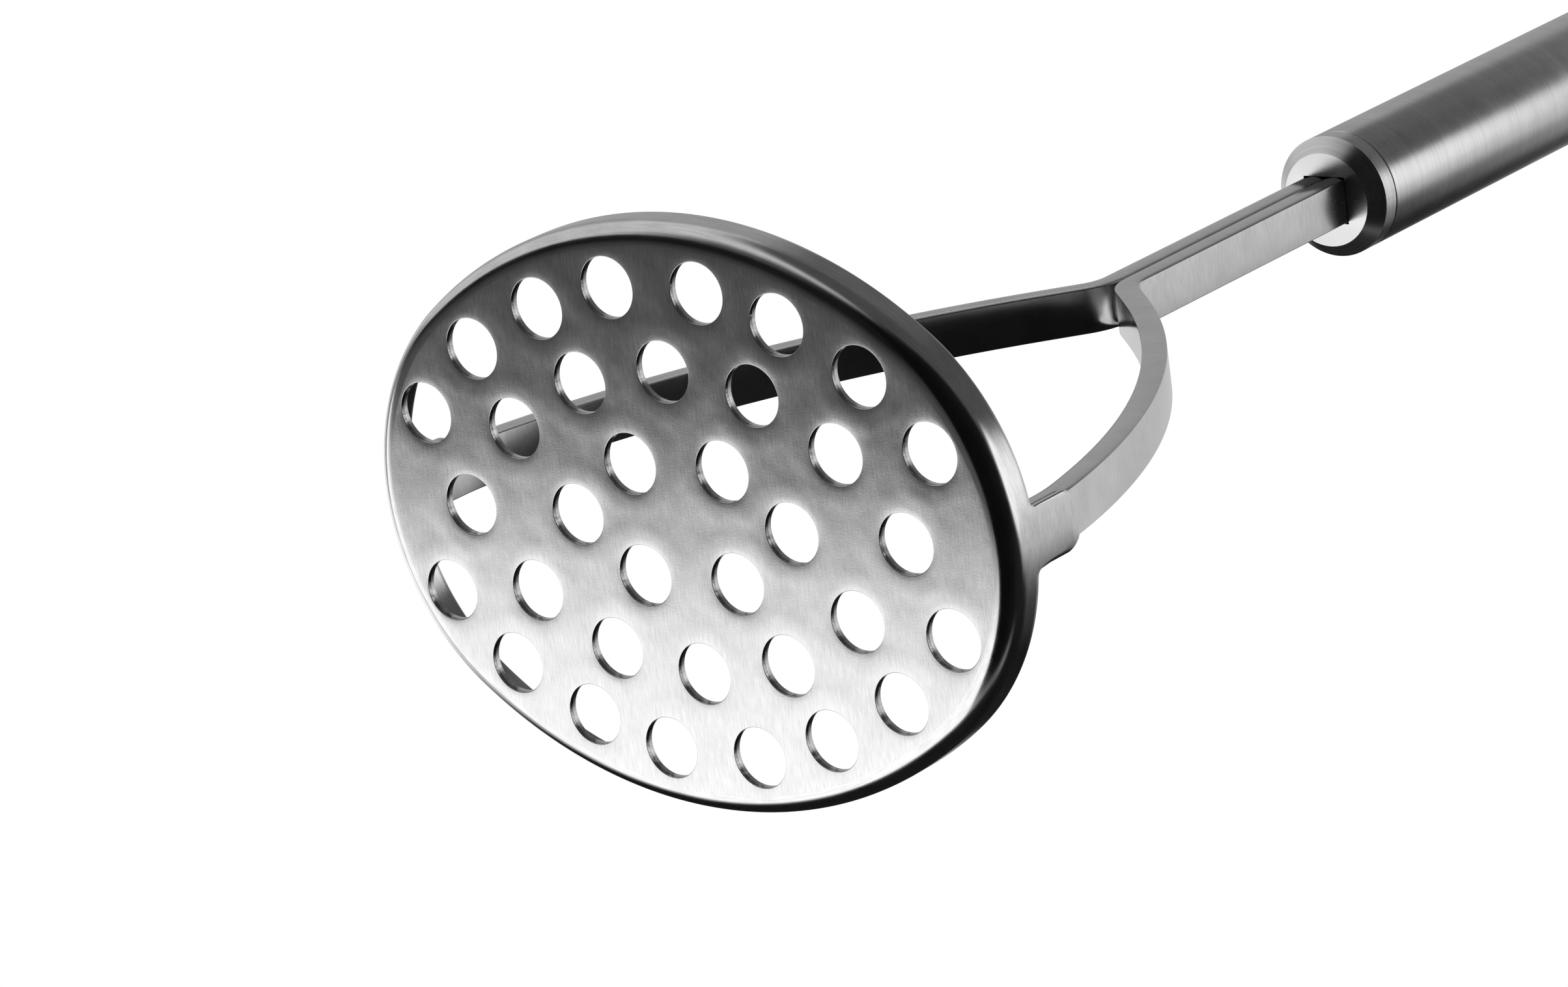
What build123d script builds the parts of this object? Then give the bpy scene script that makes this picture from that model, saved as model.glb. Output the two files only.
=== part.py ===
from build123d import *
import math
import os

os.makedirs("parts", exist_ok=True)

# Whole tool
total_length = 290.0          # working face to the tip of the hanging end
cut_over = 5.0                # how far cutting shapes run past what they cut

# Mashing disc, one oval pressing
disc_length = 111.0           # along X, from ear to ear
disc_width = 86.2             # along Y
disc_end_share = 0.842        # outline's radius at the ears as a share of the half width; the sides' follows
sheet = 1.5
rim_height = 6.5              # working face to the top edge of the rim
rim_bend_radius = 3.1         # outside of the bend between face and rim
hole_diameter = 9.0

# Hole centres in one quadrant, as shares of the disc's half length and half width
outer_hole_shares = [(0.796, 0.307), (0.611, 0.541), (0.378, 0.694), (0.141, 0.781)]
middle_hole_shares = [(0.689, 0), (0.508, 0.278), (0.272, 0.452), (0, 0.510)]
inner_hole_shares = [(0.339, 0), (0.146, 0.189)]

# Ears, the two tabs of the disc that lie on the arms
ear_width = 9.1
ear_top = 16.9                # height of the free end above the working face
ear_corner_radius = 3.2
ear_root_radius = 0.8         # hollow corner between ear and rim

# Arms, two flat bars
bar_width = 7.5
bar_thickness = 3.7
foot_gap = 0.4                # between the foot of a bar and the bend inside the disc
foot_bend_height = 13.0       # where the bar starts to lean inwards
foot_bend_radius = 35.0       # outside of the bend
foot_bend_angle = 11.0
shoulder_angle = 44.5         # lean of the bar where the bow ends
shoulder_run = 6.4            # straight stretch below the neck
neck_bend_radius = 6.0        # hollow side of the neck bend

# Handle, a round tube
grip_start = 172.0            # front edge of the tube above the working face
grip_radius = 9.75
grip_wall = 1.2
tang_depth = 34.0             # how far the bars reach into the tube
seat_clearance = 0.05

# Collar, closing the front of the tube
collar_nose = 5.0
collar_nose_cut = 2.2         # slope round its front edge
collar_spigot = 7.0

# Cap, closing the far end of the tube, flattened to a tongue round its hanging hole
cap_length = 30.0             # tube's end to the tip
cap_spigot = 7.0
tongue_thickness = 8.0
tongue_length = 16.0          # flat stretch, measured from the tip
tongue_root_radius = 9.0      # hollow between the flats and the round part
hang_hole_diameter = 9.0


def mirrored_places(shares):
    """Every place that a quadrant's shares give when mirrored in X and Y."""
    places = set()
    for length_share, width_share in shares:
        for x_side in (1, -1):
            for y_side in (1, -1):
                x = x_side * length_share * disc_length / 2
                y = y_side * width_share * disc_width / 2
                places.add((x, y))
    return sorted(places)


def oval_block(inset, base):
    """An upright block with the disc's outline, drawn in by an inset: four arcs that meet smoothly."""
    half_width = disc_width / 2
    end_radius = disc_end_share * half_width
    end_center = disc_length / 2 - end_radius
    spare = half_width - end_radius
    side_radius = (end_center ** 2 + half_width ** 2 - end_radius ** 2) / (2 * spare)
    side_center = half_width - side_radius
    end_reach = math.degrees(math.atan2(-side_center, end_center))
    with BuildSketch() as outline:
        with BuildLine():
            end = CenterArc((end_center, 0), end_radius - inset, -end_reach, 2 * end_reach)
            side = CenterArc((0, side_center), side_radius - inset, end_reach, 180 - 2 * end_reach)
            mirror(end, about=Plane.YZ)
            mirror(side, about=Plane.XZ)
        make_face()
    return Pos(0, 0, base) * extrude(outline.sketch, ear_top)


def trimming_shape():
    """Everything above the rim but the two ears, as one prism along X."""
    ear = Rectangle(ear_width, ear_top, align=(Align.CENTER, Align.MIN))
    rim = Rectangle(disc_width + 2 * cut_over, rim_height, align=(Align.CENTER, Align.MIN))
    keep = ear + rim
    keep = fillet(keep.vertices().group_by(Axis.Y)[-1], ear_corner_radius)
    roots = [v for v in keep.vertices() if abs(v.Y - rim_height) < sheet / 2 and abs(v.X) < ear_width]
    keep = fillet(roots, ear_root_radius)
    sky = Pos(0, rim_height / 2) * Rectangle(
        disc_width + cut_over, ear_top + cut_over, align=(Align.CENTER, Align.MIN))
    return extrude(Plane.YZ * (sky - keep), disc_length / 2 + cut_over, both=True)


def bar_seats():
    """Flat places on the inside of the rim and ears, where the bars lie."""
    seat = Box(disc_length - 2 * sheet, bar_width, ear_top, align=(Align.CENTER, Align.CENTER, Align.MIN))
    return Pos(0, 0, foot_height()) * seat


def make_disc():
    outside = oval_block(0, 0)
    outside = fillet(outside.edges().group_by(Axis.Z)[0], rim_bend_radius)
    inside = oval_block(sheet, sheet)
    inner_bend_cut = (2 - math.sqrt(2)) * (rim_bend_radius - sheet)
    inside = chamfer(inside.edges().group_by(Axis.Z)[0], inner_bend_cut)
    disc = outside - inside - trimming_shape() - bar_seats()
    places = mirrored_places(outer_hole_shares + middle_hole_shares + inner_hole_shares)
    punch = extrude(Circle(hole_diameter / 2), sheet + cut_over)
    return disc - [Pos(x, y, -cut_over / 2) * punch for x, y in places]


def arm_path():
    """Middle line of the right arm, from its foot to its end inside the handle."""
    half = bar_thickness / 2
    start_x = disc_length / 2 - sheet - half
    foot_radius = foot_bend_radius - half
    neck_radius = neck_bend_radius + half
    lean = math.radians(shoulder_angle)
    foot_lean = math.radians(foot_bend_angle)
    inward_at_foot = foot_radius * (1 - math.cos(foot_lean))
    inward_at_neck = neck_radius * (1 - math.cos(lean))
    inward_at_run = shoulder_run * math.sin(lean)
    inward_in_bow = start_x - half - inward_at_foot - inward_at_neck - inward_at_run
    bow_radius = inward_in_bow / (math.cos(foot_lean) - math.cos(lean))
    with BuildLine(Plane.XZ) as path:
        foot = Line((start_x, foot_height()), (start_x, foot_bend_height))
        knee = JernArc(foot @ 1, foot % 1, foot_radius, foot_bend_angle)
        bow = JernArc(knee @ 1, knee % 1, bow_radius, shoulder_angle - foot_bend_angle)
        run = Line(bow @ 1, bow @ 1 + shoulder_run * (bow % 1))
        neck = JernArc(run @ 1, run % 1, neck_radius, -shoulder_angle)
        Line(neck @ 1, (half, grip_start + tang_depth))
    return path.line


def foot_height():
    return rim_bend_radius + foot_gap


def make_right_arm():
    section = Rectangle(bar_thickness, bar_width)
    start_x = disc_length / 2 - sheet - bar_thickness / 2
    return sweep(Pos(start_x, 0, foot_height()) * section, arm_path())


def round_piece(radius, base, length):
    """A round piece on the tool's axis, standing on a height."""
    return Pos(0, 0, base) * extrude(Circle(radius), length)


def make_grip_shell():
    length = total_length - cap_length - grip_start
    bore = round_piece(grip_radius - grip_wall, grip_start, length)
    return round_piece(grip_radius, grip_start, length) - bore


def make_front_collar():
    nose = round_piece(grip_radius, grip_start - collar_nose, collar_nose)
    nose = chamfer(nose.edges().group_by(Axis.Z)[0], collar_nose_cut)
    spigot = round_piece(grip_radius - grip_wall - seat_clearance, grip_start, collar_spigot)
    mouth = Rectangle(2 * (bar_thickness + seat_clearance), bar_width + 2 * seat_clearance)
    return nose + spigot - Pos(0, 0, grip_start) * extrude(mouth, collar_spigot + cut_over, both=True)


def tongue_cutter():
    """What is cut away on one side of the tongue."""
    flat_y = tongue_thickness / 2
    top = total_length + cut_over
    with BuildSketch(Plane.YZ) as outline:
        with BuildLine():
            flat = Line((flat_y, top), (flat_y, total_length - tongue_length))
            root = JernArc(flat @ 1, flat % 1, tongue_root_radius, 90)
            Polyline(root @ 1, (flat_y + tongue_root_radius, top), flat @ 0)
        make_face()
    return extrude(outline.sketch, grip_radius + cut_over, both=True)


def make_end_cap():
    base = total_length - cap_length
    eye = total_length - grip_radius
    eye_plane = Plane.XZ * Pos(0, eye)
    rounded_end = Circle(grip_radius)
    rounded_end += Rectangle(2 * grip_radius, cap_length, align=(Align.CENTER, Align.MAX))
    cap = round_piece(grip_radius, base, cap_length)
    cap &= extrude(eye_plane * rounded_end, grip_radius, both=True)
    cutter = tongue_cutter()
    cap = cap - cutter - mirror(cutter, Plane.XZ)
    cap -= extrude(eye_plane * Circle(hang_hole_diameter / 2), grip_radius, both=True)
    return cap + round_piece(grip_radius - grip_wall - seat_clearance, base - cap_spigot, cap_spigot)


right_arm = make_right_arm()
parts = {
    "mashing_disc": make_disc(),
    "right_arm": right_arm,
    "left_arm": mirror(right_arm, Plane.YZ),
    "front_collar": make_front_collar(),
    "grip_shell": make_grip_shell(),
    "end_cap": make_end_cap(),
}
for name, shape in parts.items():
    export_step(shape, f"parts/{name}.step")
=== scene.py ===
"""Looks for a potato masher of satin stainless steel, seen from below its working face."""
import math

import bmesh
import bpy
from mathutils import Matrix, Vector
from mathutils.geometry import delaunay_2d_cdt


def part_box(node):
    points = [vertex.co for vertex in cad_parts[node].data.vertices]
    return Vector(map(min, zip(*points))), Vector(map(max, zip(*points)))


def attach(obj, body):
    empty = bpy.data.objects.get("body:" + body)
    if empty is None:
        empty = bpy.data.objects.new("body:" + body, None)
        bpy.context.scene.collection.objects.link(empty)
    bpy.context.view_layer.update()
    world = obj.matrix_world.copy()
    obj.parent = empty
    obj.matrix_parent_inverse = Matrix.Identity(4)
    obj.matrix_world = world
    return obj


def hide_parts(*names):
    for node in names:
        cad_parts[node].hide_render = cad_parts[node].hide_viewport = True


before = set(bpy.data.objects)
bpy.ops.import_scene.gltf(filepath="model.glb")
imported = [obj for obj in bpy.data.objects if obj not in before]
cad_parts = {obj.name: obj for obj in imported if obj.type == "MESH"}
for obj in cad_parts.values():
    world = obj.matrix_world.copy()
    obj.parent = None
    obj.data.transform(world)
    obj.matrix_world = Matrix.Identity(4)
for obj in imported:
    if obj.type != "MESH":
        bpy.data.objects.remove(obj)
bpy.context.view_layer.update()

# Lengths are in millimetres, as in the part, and become metres where a mesh or a lamp is made
MM = 0.001
# The map, in millimetres, that brushing follows: first across its lines, then along
BRUSH_MAP = "brush"
weld_distance = 1e-4          # points of a piece that lie closer than this become one
sharp_angle = 40              # edges sharper than this are shaded sharp

# Places of the disc's steels in its list of materials
# the sheared band's steel is darkened with painted shade for the inside of the holes
FACE, RIM, SHEARED_AND_PAINTED_SHADE, BROKEN = range(4)

disc_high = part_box("mashing_disc")[1] / MM
arm_low, arm_high = (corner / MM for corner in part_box("right_arm"))
shell_low, shell_high = (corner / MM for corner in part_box("grip_shell"))

# Disc
half_length = disc_high.x
half_width = disc_high.y
ear_top = disc_high.z
end_share = 0.842
end_radius = end_share * half_width   # outline at the ears; the long sides' radius follows
sheet = 1.5
rim_height = 6.5
bend_radius = 3.1             # outside of the bend between face and rim
edge_radius = 0.25            # worn edge of the sheet
ear_edge_radius = 0.8         # outside of the ears' edges towards +Y, which are polished rounder
ear_end_share = 0.6           # and of that rounding, what their ends have
hole_radius = 4.5
outer_hole_shares = [(0.796, 0.307), (0.611, 0.541), (0.378, 0.694), (0.141, 0.781)]
middle_hole_shares = [(0.689, 0), (0.508, 0.278), (0.272, 0.452), (0, 0.510)]
inner_hole_shares = [(0.339, 0), (0.146, 0.189)]
rim_steps = 150               # columns of each stretch of rim between the ears
bend_steps, wall_steps, edge_steps = 9, 6, 4

# Ears
ear_half_width = 4.55
ear_corner_radius = 3.2
ear_root_radius = 0.8
ear_edge_reach = 3.0          # height above the rim at which the edge has its full rounding
ear_corner_steps, ear_side_steps, ear_root_steps = 10, 6, 6

# The punch rolled each hole's edge over, drew in the sheet beside it,
# and bowed it out in a low ridge round that
roll_radius = 0.1
draw_width = 0.9
draw_depth = 0.03
ridge_offset = 2.1            # from the rolled edge to the ridge's top
ridge_reach = 2.3             # from the top to the foot
ridge_height = 0.028
face_rise = 2 * ridge_height  # the flat face lies this far inside, so that ridges that meet stay above zero
ridge_fade = 1.2              # all this runs out over this distance from the bend
break_share = 0.45            # of the hole's depth is sheared smooth, and the rest breaks out wider
break_width = 0.08
# Rings of points round each hole's edge
ring_offsets = [0.12, 0.27, 0.45, 0.65, 0.9, 1.3, 1.8, 2.4, 3.0]
ring_steps = 56
roll_steps = 6
face_spacing = 1.2            # between the points of the face away from the holes
face_margin = 0.3             # kept free of points along the bend
triangle_tolerance = 1e-5

# Arms
bar_thickness = 3.7
bar_half_width = arm_high.y
bar_crown = 0.33              # how far the narrow sides stand out in their middle
bar_edge_radius = 0.15
foot_bend_height = 13.0
foot_bend_radius = 35.0       # outside of the bend
foot_bend_angle = 11.0
shoulder_angle = 44.5
shoulder_run = 6.4
neck_bend_radius = 6.0        # hollow side of the bend
knee_steps, bow_steps, neck_steps = 12, 60, 24
bar_corner_steps, bar_crown_steps = 4, 4

# Handle's tube
shell_wall = 1.2
shell_edge_radius = 0.5       # outer edges of its ends, which part it from the collar and the cap
shell_inner_edge_radius = 0.1
shell_steps, shell_edge_steps = 96, 6

# Camera
camera_target = Vector((18.5, -5.8, 0))
camera_distance = 941.8
camera_azimuth = -24.93       # from +X towards +Y
camera_elevation = -48.4
camera_roll = 63.09
camera_lens = 158.26
camera_far_end = 20.0         # in metres


# Mesh helpers

def arc_points(center, radius, start, end, steps):
    """Places and outward headings along an arc, both ends included, with angles in degrees."""
    found = []
    for step in range(steps + 1):
        angle = math.radians(start + (end - start) * step / steps)
        heading = Vector((math.cos(angle), math.sin(angle)))
        found.append((Vector(center) + radius * heading, heading))
    return found


def add_quads(bm, rows, maps, material_index):
    """Four-sided faces between closed rows of vertices. Each row of maps has one entry more."""
    brush = bm.loops.layers.uv[BRUSH_MAP]
    for lower, upper, lower_map, upper_map in zip(rows, rows[1:], maps, maps[1:]):
        for i in range(len(lower)):
            j = (i + 1) % len(lower)
            face = bm.faces.new((lower[i], lower[j], upper[j], upper[i]))
            face.material_index = material_index
            places = (lower_map[i], lower_map[i + 1], upper_map[i + 1], upper_map[i])
            for loop, place in zip(face.loops, places):
                loop[brush].uv = place


def make_piece(name, fill, nodes, materials):
    """A detailed piece that stands for CAD nodes. The filling function models it in millimetres."""
    bm = bmesh.new()
    bm.loops.layers.uv.new(BRUSH_MAP)
    fill(bm)
    bmesh.ops.remove_doubles(bm, verts=bm.verts, dist=weld_distance)
    bmesh.ops.scale(bm, vec=(MM, MM, MM), verts=bm.verts)
    bmesh.ops.recalc_face_normals(bm, faces=bm.faces)
    mesh = bpy.data.meshes.new(name)
    bm.to_mesh(mesh)
    bm.free()
    for material in materials:
        mesh.materials.append(material)
    mesh.shade_smooth()
    mesh.set_sharp_from_angle(angle=math.radians(sharp_angle))
    piece = bpy.data.objects.new(name, mesh)
    bpy.context.collection.objects.link(piece)
    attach(piece, "root")
    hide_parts(*nodes)


# The disc's outline is four arcs that meet smoothly, so a place on it goes by the angle of its normal

end_center = half_length - end_radius
spare = half_width - end_radius
side_radius = (end_center ** 2 + half_width ** 2 - end_radius ** 2) / (2 * spare)
side_center = half_width - side_radius
end_reach = math.atan2(-side_center, end_center)


def outline_place(angle, inset):
    """A place on the outline drawn in by an inset."""
    normal = Vector((math.cos(angle), math.sin(angle)))
    if math.atan2(abs(normal.y), abs(normal.x)) < end_reach:
        return Vector((math.copysign(end_center, normal.x), 0)) + (end_radius - inset) * normal
    return Vector((0, math.copysign(1, normal.y) * side_center)) + (side_radius - inset) * normal


def depth_inside(place):
    """How far a place lies inside the outline."""
    x, y = abs(place.x), abs(place.y)
    if math.atan2(y, x - end_center) < end_reach:
        return end_radius - math.hypot(x - end_center, y)
    return side_radius - math.hypot(x, y - side_center)


def hole_centers():
    places = set()
    for length_share, width_share in outer_hole_shares + middle_hole_shares + inner_hole_shares:
        for x_side in (1, -1):
            for y_side in (1, -1):
                places.add((x_side * length_share * half_length, y_side * width_share * half_width))
    return [Vector(place) for place in sorted(places)]


def drawn_depth(place, centers):
    """How far the punch moved the face inwards at a place."""
    depth = 0
    for center in centers:
        offset = (place - center).length - hole_radius - roll_radius
        if offset < ridge_offset + ridge_reach:
            depth += draw_depth * max(0, 1 - offset / draw_width) ** 2
            depth -= ridge_height * max(0, 1 - ((offset - ridge_offset) / ridge_reach) ** 2) ** 2
    fade = min(1, max(0, depth_inside(place) - bend_radius) / ridge_fade)
    return depth * fade * fade * (3 - 2 * fade)


def ear_edge():
    """The edge of an ear from root to root, as places along and up the wall and headings out of the sheet."""
    corner = (ear_half_width - ear_corner_radius, ear_top - ear_corner_radius)
    root = (ear_half_width + ear_root_radius, rim_height + ear_root_radius)
    half = [(Vector((0, ear_top)), Vector((0, 1)))]
    half += arc_points(corner, ear_corner_radius, 90, 0, ear_corner_steps)
    side_top, side_foot = half[-1][0], Vector((ear_half_width, root[1]))
    for step in range(1, ear_side_steps):
        half.append((side_top.lerp(side_foot, step / ear_side_steps), Vector((1, 0))))
    for place, heading in arc_points(root, ear_root_radius, 180, 270, ear_root_steps):
        half.append((place, -heading))
    other = []
    for place, heading in half[1:]:
        other.append((Vector((-place.x, place.y)), Vector((-heading.x, heading.y))))
    return other[::-1] + half


def rim_columns():
    """Columns round the rim: the angle at the bend, and the edge's angle, height and heading above it."""
    edge = ear_edge()
    lengths = [0]
    for (before, _), (after, _) in zip(edge, edge[1:]):
        lengths.append(lengths[-1] + (after - before).length)
    ear_angle = edge[-1][0].x / end_radius
    columns = []
    for middle in (0, math.pi):
        for (place, heading), length in zip(edge, lengths):
            low = middle + ear_angle * (2 * length / lengths[-1] - 1)
            columns.append((low, middle + place.x / end_radius, place.y, heading))
        for step in range(1, rim_steps):
            angle = middle + ear_angle + (math.pi - 2 * ear_angle) * step / rim_steps
            columns.append((angle, angle, rim_height, Vector((0, 1))))
    return columns


def rim_profile(column):
    """The sheet's section at one column, from the face round the edge to the floor of the dish:
    angle, inset and height, and the brushing's place across its lines."""
    low, top_angle, top_height, heading = column
    inner_radius = bend_radius - sheet
    section = []
    for step in range(bend_steps + 1):
        turn = math.radians(90 * step / bend_steps)
        inset = bend_radius * (1 - math.sin(turn))
        height = face_rise + (bend_radius - face_rise) * (1 - math.cos(turn))
        section.append((low, inset, height, bend_radius * turn))
    bend_length = bend_radius * math.pi / 2
    foot = (low, bend_radius)

    rounder = max(heading.x * math.cos(top_angle), ear_end_share * heading.y)
    rounder *= min(1, (top_height - rim_height) / ear_edge_reach)
    outer_radius = edge_radius + max(0, rounder) * (ear_edge_radius - edge_radius)

    def edge_place(drawn_back):
        return top_angle - drawn_back * heading.x / end_radius, top_height - drawn_back * heading.y

    def wall_row(share, inset, radius):
        edge_angle, edge_height = edge_place(radius)
        angle = foot[0] + share * (edge_angle - foot[0])
        height = foot[1] + share * (edge_height - foot[1])
        section.append((angle, inset, height, bend_length + height - bend_radius))

    for step in range(1, wall_steps + 1):
        wall_row(step / wall_steps, 0, outer_radius)
    for step in range(1, 2 * edge_steps + 1):
        turn = math.radians(90 * step / edge_steps)
        if step > edge_steps:
            drawn_back = edge_radius * (1 - math.sin(turn))
            inset = sheet - edge_radius * (1 + math.cos(turn))
        else:
            drawn_back = outer_radius * (1 - math.sin(turn))
            inset = outer_radius * (1 - math.cos(turn))
        angle, height = edge_place(drawn_back)
        section.append((angle, inset, height, bend_length + height - bend_radius + inset))
    for step in range(wall_steps - 1, -1, -1):
        wall_row(step / wall_steps, sheet, edge_radius)
    for step in range(bend_steps - 1, -1, -1):
        turn = math.radians(90 * step / bend_steps)
        inset = bend_radius - inner_radius * math.sin(turn)
        height = bend_radius - inner_radius * math.cos(turn)
        section.append((low, inset, height, inner_radius * turn))
    return section


def fill_disc(bm):
    columns = rim_columns()
    sections = [rim_profile(column) for column in columns]
    rows, maps = [], []
    for step in range(len(sections[0])):
        row, row_map = [], []
        for section in sections:
            angle, inset, height, across = section[step]
            place = outline_place(angle, inset)
            row.append(bm.verts.new((place.x, place.y, height)))
            row_map.append((across, side_radius * angle))
        row_map.append((row_map[0][0], side_radius * 2 * math.pi))
        rows.append(row)
        maps.append(row_map)
    add_quads(bm, rows, maps, RIM)

    centers = hole_centers()

    def face_height(place):
        return face_rise + drawn_depth(place, centers)

    outline = [outline_place(column[0], bend_radius) for column in columns]
    add_flat(bm, outline, centers, hole_radius + roll_radius, face_height, -1)
    add_flat(bm, outline, centers, hole_radius + break_width, lambda place: sheet, 1)
    for center in centers:
        add_hole(bm, center, centers)


def circle_places(center, radius):
    turns = [2 * math.pi * step / ring_steps for step in range(ring_steps)]
    return [center + radius * Vector((math.cos(turn), math.sin(turn))) for turn in turns]


def add_flat(bm, outline, centers, edge, height_of, order):
    """One side of the holed sheet, from the holes' edges to the outline, at heights that a function gives.
    Its faces are wound the other way where the order is -1."""
    points = list(outline)
    edges = [(i, (i + 1) % len(points)) for i in range(len(points))]
    for center in centers:
        first = len(points)
        edges += [(first + i, first + (i + 1) % ring_steps) for i in range(ring_steps)]
        points += circle_places(center, edge)
        for offset in ring_offsets:
            for place in circle_places(center, edge + offset):
                near = min((place - other).length for other in centers)
                own = near > edge + offset - face_margin / 2
                if own and depth_inside(place) > bend_radius + face_margin:
                    points.append(place)
    clear = edge + ring_offsets[-1] + face_spacing / 2
    rows_up = int(half_width / face_spacing)
    rows_across = int(half_length / face_spacing)
    for row in range(-rows_up, rows_up + 1):
        for column in range(-rows_across, rows_across + 1):
            place = Vector(((column + 0.5 * (row % 2)) * face_spacing, row * face_spacing))
            near = min((place - center).length for center in centers)
            if near > clear and depth_inside(place) > bend_radius + face_spacing / 2:
                points.append(place)
    flat, _, triangles, *_ = delaunay_2d_cdt(points, edges, [], 0, triangle_tolerance)
    brush = bm.loops.layers.uv[BRUSH_MAP]
    verts = [bm.verts.new((p.x, p.y, height_of(p))) for p in flat]
    for triangle in triangles:
        middle = sum((flat[i] for i in triangle), Vector((0, 0))) / 3
        if min((middle - center).length for center in centers) < edge * math.cos(math.pi / ring_steps):
            continue
        face = bm.faces.new([verts[i] for i in triangle[::order]])
        for loop in face.loops:
            loop[brush].uv = loop.vert.co.xy
    loose = [vert for vert in verts if not vert.link_faces]
    bmesh.ops.delete(bm, geom=loose, context="VERTS")


def add_hole(bm, center, centers):
    """The rolled edge and the wall of one hole."""
    profile = []
    for step in range(roll_steps + 1):
        turn = math.radians(90 * step / roll_steps)
        profile.append((hole_radius + roll_radius * (1 - math.sin(turn)), roll_radius * (1 - math.cos(turn))))
    profile += [(hole_radius, break_share * sheet), (hole_radius + break_width, sheet)]
    rims = circle_places(center, hole_radius + roll_radius)
    lows = [drawn_depth(place, centers) for place in rims]
    rows, maps = [], []
    for radius, height in profile:
        still = height / sheet
        row = []
        for place, low in zip(circle_places(center, radius), lows):
            row.append(bm.verts.new((place.x, place.y, height + (face_rise + low) * (1 - still))))
        around = [2 * math.pi * hole_radius * step / ring_steps + center.x for step in range(ring_steps + 1)]
        maps.append([(run, height + center.y) for run in around])
        rows.append(row)
    add_quads(bm, rows[:roll_steps + 1], maps[:roll_steps + 1], FACE)
    # the sheared band of the wall gets steel darkened with painted shade, standing for the shade inside the
    # hole
    add_quads(bm, rows[roll_steps:-1], maps[roll_steps:-1], SHEARED_AND_PAINTED_SHADE)
    add_quads(bm, rows[-2:], maps[-2:], BROKEN)


# An arm is its rounded section swept along the bar's middle line

def arm_line():
    """Middle line of the right arm from foot to end: places in its plane, and lean in radians."""
    half = bar_thickness / 2
    start = Vector((half_length - sheet - half, arm_low.z))
    knee_radius, neck_radius = foot_bend_radius - half, neck_bend_radius + half
    knee, lean = math.radians(foot_bend_angle), math.radians(shoulder_angle)
    left_for_bow = start.x - half - knee_radius * (1 - math.cos(knee))
    left_for_bow -= neck_radius * (1 - math.cos(lean)) + shoulder_run * math.sin(lean)
    bow_radius = left_for_bow / (math.cos(knee) - math.cos(lean))
    line = [(start, 0.0), (Vector((start.x, foot_bend_height)), 0.0)]

    def bend(radius, lean_after, steps):
        place, lean_before = line[-1]
        side = math.copysign(radius, lean_after - lean_before)
        for step in range(1, steps + 1):
            lean_now = lean_before + (lean_after - lean_before) * step / steps
            run_x = math.cos(lean_now) - math.cos(lean_before)
            run_z = math.sin(lean_now) - math.sin(lean_before)
            line.append((place + side * Vector((run_x, run_z)), lean_now))

    bend(knee_radius, knee, knee_steps)
    bend(bow_radius, lean, bow_steps)
    place, lean_now = line[-1]
    line.append((place + shoulder_run * Vector((-math.sin(lean_now), math.cos(lean_now))), lean_now))
    bend(neck_radius, 0.0, neck_steps)
    line.append((Vector((half, arm_high.z)), 0.0))
    return line


def bar_section():
    """The bar's section, with crowned narrow sides: places across its thickness and its width."""
    half = bar_thickness / 2
    crown_radius = (half ** 2 + bar_crown ** 2) / (2 * bar_crown)
    crown_center = bar_half_width - crown_radius
    corner_x = half - bar_edge_radius
    corner_y = math.sqrt((crown_radius - bar_edge_radius) ** 2 - corner_x ** 2)
    slope = math.degrees(math.atan2(corner_y, corner_x))
    corner = (corner_x, crown_center + corner_y)
    quarter = [place for place, _ in arc_points(corner, bar_edge_radius, 0, slope, bar_corner_steps)]
    crown = arc_points((0, crown_center), crown_radius, slope, 90, bar_crown_steps)
    quarter += [place for place, _ in crown[1:]]
    upper = quarter + [Vector((-place.x, place.y)) for place in quarter[-2::-1]]
    return upper + [-place for place in upper]


def arm_filler(side):
    """A function that fills a mesh with the arm on one side: 1 for the right and -1 for the left."""
    def fill(bm):
        section = bar_section()
        rounds = [0]
        for before, after in zip(section, section[1:] + section[:1]):
            rounds.append(rounds[-1] + (after - before).length)
        rows, maps = [], []
        line = arm_line()
        length, last = 0, line[0][0]
        for place, lean in line:
            length += (place - last).length
            last = place
            row = []
            for across, along in section:
                x = place.x + across * math.cos(lean)
                row.append(bm.verts.new((side * x, along, place.y + across * math.sin(lean))))
            rows.append(row)
            maps.append([(length, run) for run in rounds])
        add_quads(bm, rows, maps, 0)
        bm.faces.new(rows[0])
        bm.faces.new(rows[-1])
    return fill


def fill_shell(bm):
    """The handle's tube, its section turned round the Z axis."""
    outer, inner = shell_high.x, shell_high.x - shell_wall
    low, high = shell_low.z, shell_high.z
    edges = [
        (outer - shell_edge_radius, low + shell_edge_radius, shell_edge_radius, -90),
        (outer - shell_edge_radius, high - shell_edge_radius, shell_edge_radius, 0),
        (inner + shell_inner_edge_radius, high - shell_inner_edge_radius, shell_inner_edge_radius, 90),
        (inner + shell_inner_edge_radius, low + shell_inner_edge_radius, shell_inner_edge_radius, 180),
    ]
    section = []
    for from_axis, height, radius, start in edges:
        corner = arc_points((from_axis, height), radius, start, start + 90, shell_edge_steps)
        section += [place for place, _ in corner]
    turns = [2 * math.pi * step / shell_steps for step in range(shell_steps)]
    rows, maps = [], []
    for place in section:
        row = []
        for turn in turns:
            row.append(bm.verts.new((place.x * math.cos(turn), place.x * math.sin(turn), place.y)))
        rows.append(row)
        maps.append([(outer * turn, place.y) for turn in turns + [2 * math.pi]])
    add_quads(bm, rows + rows[:1], maps + maps[:1], 0)


# Materials

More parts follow.
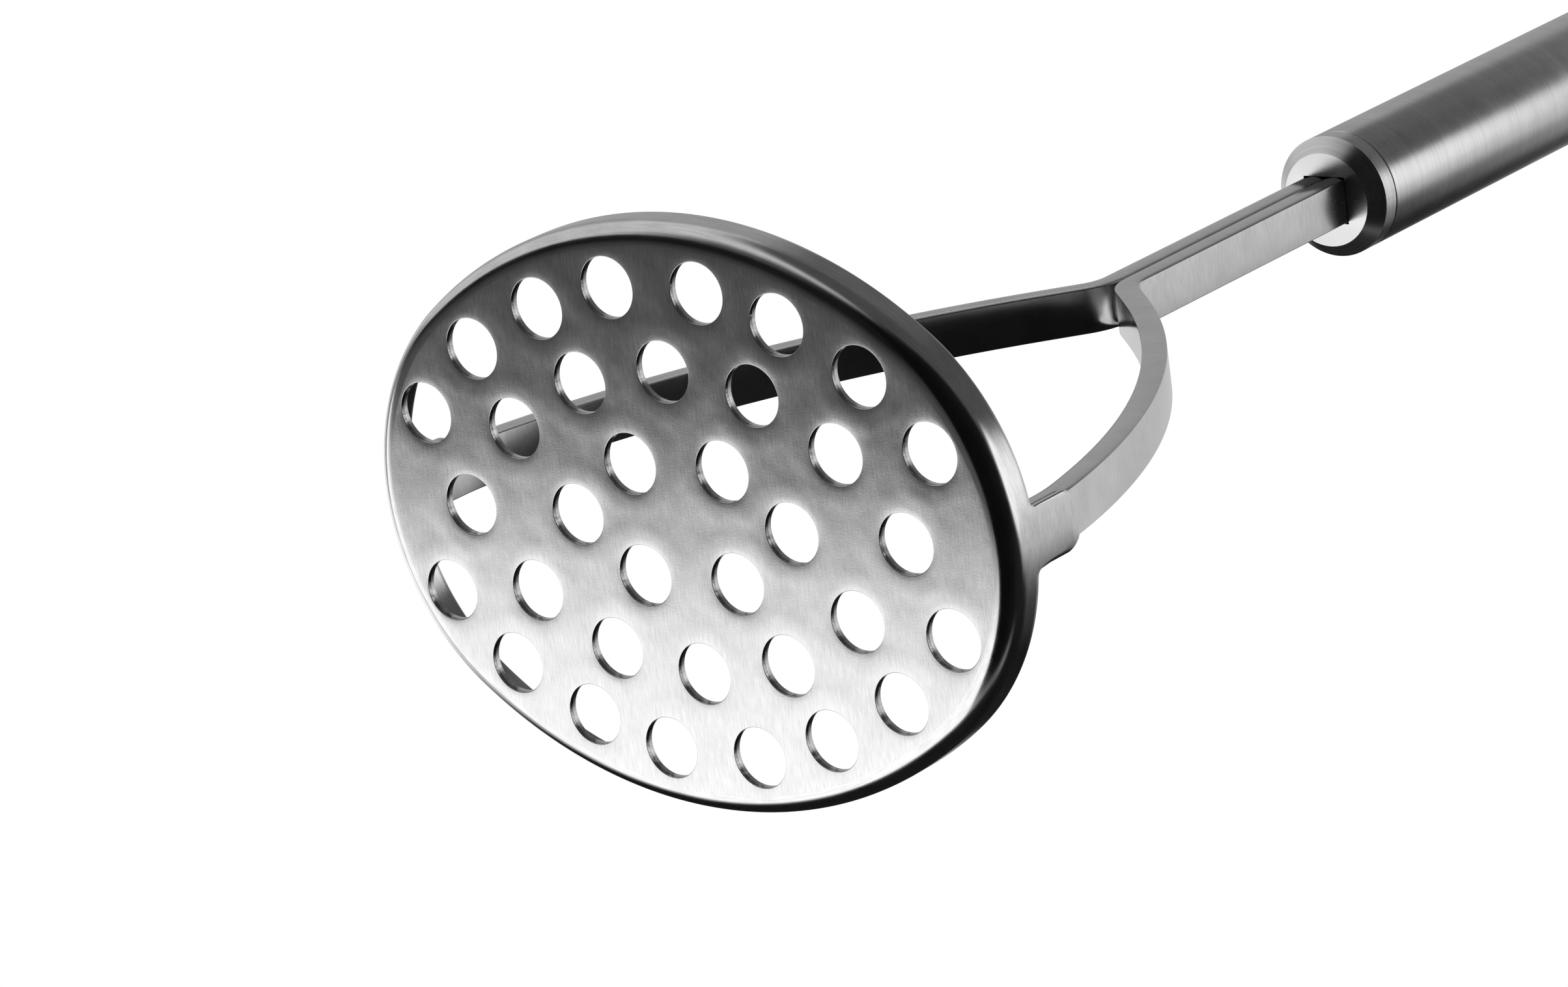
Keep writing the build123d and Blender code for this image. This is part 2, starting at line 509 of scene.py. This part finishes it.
noise_low, noise_high = 0.3, 0.7      # nearly all values of a noise lie between these
line_detail, line_roughness = 3.0, 0.65
wave_detail, wave_roughness = 2.0, 0.5
grain_sizes = (0.45, 0.28, 0.28)      # along X, Y and Z
grain_detail, grain_roughness = 2.0, 0.6
cloud_size = 6
cloud_detail, cloud_roughness = 4.0, 0.65
cloud_tones = (0.92, 1.07)
cloud_polish = (0.9, 1.1)             # shares of a steel's roughness
quarter_turn = 0.25                   # for the shader, which counts in whole turns


def add_node(tree, kind, settings=None, inputs=None):
    """A shader node with its settings, and its inputs set or linked."""
    node = tree.nodes.new(kind)
    for name, value in (settings or {}).items():
        setattr(node, name, value)
    for name, value in (inputs or {}).items():
        socket = node.inputs[name]
        if isinstance(value, bpy.types.NodeSocket):
            tree.links.new(value, socket)
        else:
            socket.default_value = value
    return node


def scaled_noise(tree, coordinates, scales, detail, roughness):
    """Noise whose coordinates are scaled by direction."""
    stretched = add_node(tree, "ShaderNodeVectorMath", {"operation": "MULTIPLY"},
                         {0: coordinates, 1: scales})
    noise = add_node(tree, "ShaderNodeTexNoise", None,
                     {"Vector": stretched.outputs[0], "Scale": 1.0, "Detail": detail, "Roughness": roughness})
    return noise.outputs["Fac"]


def mapped(tree, noise, low, high):
    """A noise's values spread from low to high."""
    return add_node(tree, "ShaderNodeMapRange", None,
                    {"Value": noise, "From Min": noise_low, "From Max": noise_high,
                     "To Min": low, "To Max": high}).outputs[0]


def mixed(tree, share, first, second):
    """A value between two others."""
    return add_node(tree, "ShaderNodeMix", {"data_type": "FLOAT"}, {0: share, 2: first, 3: second}).outputs[0]


def bumped(tree, height, depth, normal=None):
    """A bump of that depth in millimetres, on top of an earlier one."""
    inputs = {"Height": height, "Distance": depth * MM}
    if normal:
        inputs["Normal"] = normal
    return add_node(tree, "ShaderNodeBump", None, inputs).outputs[0]


def steel(name, line_width, line_length, tones, roughness, anisotropy, line_depth, wave_size, wave_depth,
          grain_depth=0.0, turned=False):
    """Brushed stainless steel. Lines follow the brush map, or run round the Z axis where turned.
    Widths, lengths, sizes and depths are in millimetres, and tones and roughness are shares."""
    material = bpy.data.materials.new(name)
    material.use_nodes = True
    tree = material.node_tree
    shader = tree.nodes["Principled BSDF"]
    places = add_node(tree, "ShaderNodeTexCoord").outputs["Object"]
    if turned:
        brush, scales = places, (1 / line_length / MM, 1 / line_length / MM, 1 / line_width / MM)
        tangent = add_node(tree, "ShaderNodeTangent", {"direction_type": "RADIAL", "axis": "Z"})
    else:
        brush = add_node(tree, "ShaderNodeUVMap", {"uv_map": BRUSH_MAP}).outputs[0]
        scales = (1 / line_width, 1 / line_length, 1)
        tangent = add_node(tree, "ShaderNodeTangent", {"direction_type": "UV_MAP", "uv_map": BRUSH_MAP})
    lines = scaled_noise(tree, brush, scales, line_detail, line_roughness)
    waves = scaled_noise(tree, places, (1 / wave_size / MM,) * 3, wave_detail, wave_roughness)
    clouds = scaled_noise(tree, places, (1 / cloud_size / MM,) * 3, cloud_detail, cloud_roughness)
    tone = add_node(tree, "ShaderNodeMath", {"operation": "MULTIPLY"},
                    {0: mapped(tree, lines, *tones), 1: mapped(tree, clouds, *cloud_tones)}).outputs[0]
    tree.links.new(tone, shader.inputs["Base Color"])
    normal = bumped(tree, waves, wave_depth)
    normal = bumped(tree, lines, line_depth, normal)
    if grain_depth:
        grain_scales = tuple(1 / size / MM for size in grain_sizes)
        grain = scaled_noise(tree, places, grain_scales, grain_detail, grain_roughness)
        normal = bumped(tree, grain, grain_depth, normal)
    tree.links.new(normal, shader.inputs["Normal"])
    tree.links.new(tangent.outputs[0], shader.inputs["Tangent"])
    polish = mapped(tree, clouds, *(roughness * share for share in cloud_polish))
    tree.links.new(polish, shader.inputs["Roughness"])
    shader.inputs["Metallic"].default_value = 1.0
    shader.inputs["Anisotropic"].default_value = anisotropy
    shader.inputs["Anisotropic Rotation"].default_value = quarter_turn if turned else 0.0
    return material


face_steel = steel("face_steel", 0.24, 3, (0.56, 0.70), 0.25, 0.4, 0.0018, 7, 0.04, grain_depth=0.0055)
rim_steel = steel("rim_steel", 0.3, 6, (0.54, 0.68), 0.16, 0.4, 0.0022, 14, 0.02)
# Sheared band of the hole walls: a real smooth band, but its tones, far darker than steel, are painted shade
# inside the holes
sheared_steel_and_painted_shade = steel("sheared_steel_and_painted_shade", 0.2, 3, (0.16, 0.46), 0.14, 0.3, 0.006, 3, 0.03)
broken_steel = steel("broken_steel", 0.22, 2, (0.5, 0.7), 0.2, 0.0, 0.012, 2, 0.04)
bar_steel = steel("bar_steel", 0.35, 4, (0.56, 0.65), 0.17, 0.5, 0.002, 12, 0.01)
handle_steel = steel("handle_steel", 0.3, 20, (0.58, 0.70), 0.27, 0.5, 0.001, 20, 0.005, turned=True)

disc_steels = [face_steel, rim_steel, sheared_steel_and_painted_shade, broken_steel]
make_piece("pressed_disc", fill_disc, ["mashing_disc"], disc_steels)
make_piece("right_bar", arm_filler(1), ["right_arm"], [bar_steel])
make_piece("left_bar", arm_filler(-1), ["left_arm"], [bar_steel])
make_piece("turned_shell", fill_shell, ["grip_shell"], [handle_steel])
for node in ("front_collar", "end_cap"):
    for material_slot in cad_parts[node].material_slots:
        material_slot.material = handle_steel


# Studio: reflections come from the world, except on the flat face, which mirrors one close card

# Directions to the studio's panels, brightness, and the angles at which each is full and gone
panels = [
    ((-0.88, 0.42, 0.20), 1.40, 8, 22),       # light beside the disc's left edge
    ((-1.00, 0.08, 0.03), 0.30, 6, 18),       # with a grey gap beside it
    ((-0.58, -0.27, 0.77), 0.42, 16, 34),     # grey ceiling behind
    ((-0.20, 0.28, 0.94), 0.64, 8, 20),       # and above
    ((0.42, -0.82, 0.35), 0.09, 38, 54),      # dark room on the upper right
    ((-0.10, -0.62, 0.78), 0.14, 8, 20),      # with a dark corner above it
    ((-0.20, -0.50, -0.84), 0.08, 18, 40),    # and one below
    ((0.68, -0.05, -0.73), 0.005, 58, 72),    # black cloth under the right half
    ((-0.20, 0.95, 0.25), 0.01, 40, 52),      # and in front
    ((0.45, 0.80, 0.45), 0.005, 22, 37),      # above that
    ((0.85, 0.45, 0.20), 0.01, 14, 28),       # and between the two
    ((0.78, -0.08, 0.58), 1.45, 12, 21),      # light above the right arm
]
open_studio = 0.75
card_height = -120.0
card_x = (-1500.0, 40.0)
card_y = (-140.0, 215.0)
card_dark_y, card_bright_y = 23.0, 78.0       # the card's shade runs from dark to bright between these
card_dark, card_bright = 0.11, 1.64
card_foot_y, card_fade_y = -70.0, 12.0        # and it fades further between these, down to a share
card_foot_share = 0.12
room_light = 0.8                              # the world where nothing mirrors it
background_light = 1.0
floor_reach = 6000.0
floor_height = -0.2
floor_tone, floor_roughness = 0.9, 0.9

# Lamp, in metres and watts
lamp_place = Vector((-0.5, -0.6, 1.5))
lamp_size = 1.2
lamp_power = 12


def make_world():
    world = bpy.data.worlds.new("studio")
    bpy.context.scene.world = world
    world.use_nodes = True
    tree = world.node_tree
    tree.nodes.clear()
    direction = add_node(tree, "ShaderNodeTexCoord").outputs["Generated"]
    seen = open_studio
    for toward, brightness, full, gone in panels:
        near = add_node(tree, "ShaderNodeVectorMath", {"operation": "DOT_PRODUCT"},
                        {0: direction, 1: Vector(toward).normalized()}).outputs["Value"]
        share = add_node(tree, "ShaderNodeMapRange", {"interpolation_type": "SMOOTHSTEP"},
                         {"Value": near, "From Min": math.cos(math.radians(gone)),
                          "From Max": math.cos(math.radians(full))}).outputs[0]
        seen = mixed(tree, share, seen, brightness)
    path = add_node(tree, "ShaderNodeLightPath").outputs
    plain = mixed(tree, path["Is Camera Ray"], room_light, background_light)
    strength = mixed(tree, path["Is Glossy Ray"], plain, seen)
    background = add_node(tree, "ShaderNodeBackground", None, {"Color": (1, 1, 1, 1), "Strength": strength})
    add_node(tree, "ShaderNodeOutputWorld", None, {"Surface": background.outputs[0]})


def flat_piece(name, x_range, y_range, height, material):
    """A level rectangle of the stage."""
    (x_low, x_high), (y_low, y_high) = x_range, y_range
    outline = ((x_low, y_low), (x_high, y_low), (x_high, y_high), (x_low, y_high))
    corners = [(x * MM, y * MM, height * MM) for x, y in outline]
    mesh = bpy.data.meshes.new(name)
    mesh.from_pydata(corners, [], [(0, 1, 2, 3)])
    mesh.materials.append(material)
    piece = bpy.data.objects.new(name, mesh)
    bpy.context.collection.objects.link(piece)
    return piece


def make_card():
    """The card that the flat face mirrors, shaded from dark to bright."""
    material = bpy.data.materials.new("card")
    material.use_nodes = True
    tree = material.node_tree
    tree.nodes.clear()
    places = add_node(tree, "ShaderNodeTexCoord").outputs["Object"]
    along = add_node(tree, "ShaderNodeSeparateXYZ", None, {0: places}).outputs["Y"]
    shade = add_node(tree, "ShaderNodeMapRange", {"interpolation_type": "SMOOTHSTEP"},
                     {"Value": along, "From Min": card_dark_y * MM, "From Max": card_bright_y * MM,
                      "To Min": card_dark, "To Max": card_bright}).outputs[0]
    foot = add_node(tree, "ShaderNodeMapRange", None,
                    {"Value": along, "From Min": card_foot_y * MM, "From Max": card_fade_y * MM,
                     "To Min": card_foot_share, "To Max": 1.0}).outputs[0]
    shade = add_node(tree, "ShaderNodeMath", {"operation": "MULTIPLY"}, {0: shade, 1: foot}).outputs[0]
    light = add_node(tree, "ShaderNodeEmission", None, {"Color": (1, 1, 1, 1), "Strength": shade})
    add_node(tree, "ShaderNodeOutputMaterial", None, {"Surface": light.outputs[0]})
    card = flat_piece("card", card_x, card_y, card_height, material)
    card.visible_camera = False
    card.visible_diffuse = False
    card.visible_shadow = False


def make_floor():
    """A pale floor that shows only from above, since the photograph looks up through it."""
    material = bpy.data.materials.new("floor")
    material.use_nodes = True
    tree = material.node_tree
    shader = tree.nodes["Principled BSDF"]
    shader.inputs["Base Color"].default_value = (floor_tone, floor_tone, floor_tone, 1)
    shader.inputs["Roughness"].default_value = floor_roughness
    shader.inputs["Specular IOR Level"].default_value = 0.0
    clear = add_node(tree, "ShaderNodeBsdfTransparent")
    below = add_node(tree, "ShaderNodeNewGeometry").outputs["Backfacing"]
    surface = add_node(tree, "ShaderNodeMixShader", None,
                       {0: below, 1: shader.outputs[0], 2: clear.outputs[0]})
    tree.links.new(surface.outputs[0], tree.nodes["Material Output"].inputs["Surface"])
    reach = (-floor_reach, floor_reach)
    floor = flat_piece("floor", reach, reach, floor_height, material)
    floor.visible_glossy = False


def make_lamp():
    """A large soft lamp above, for the shadow on the floor."""
    light = bpy.data.lights.new("soft_lamp", "AREA")
    light.size = lamp_size
    light.energy = lamp_power
    lamp = bpy.data.objects.new("soft_lamp", light)
    lamp.location = lamp_place
    lamp.rotation_euler = (-lamp_place).to_track_quat("-Z", "Y").to_euler()
    lamp.visible_glossy = False
    bpy.context.collection.objects.link(lamp)


def make_camera():
    azimuth, elevation = math.radians(camera_azimuth), math.radians(camera_elevation)
    level = math.cos(elevation)
    outward = Vector((math.cos(azimuth) * level, math.sin(azimuth) * level, math.sin(elevation)))
    data = bpy.data.cameras.new("camera")
    data.lens = camera_lens
    data.clip_end = camera_far_end
    camera = bpy.data.objects.new("camera", data)
    upright = (-outward).to_track_quat("-Z", "Y").to_matrix()
    roll = Matrix.Rotation(math.radians(camera_roll), 3, "Z")
    place = (camera_target + camera_distance * outward) * MM
    camera.matrix_world = Matrix.Translation(place) @ (upright @ roll).to_4x4()
    bpy.context.collection.objects.link(camera)
    bpy.context.scene.camera = camera


make_world()
make_card()
make_floor()
make_lamp()
make_camera()
bpy.context.scene.view_settings.view_transform = "Standard"
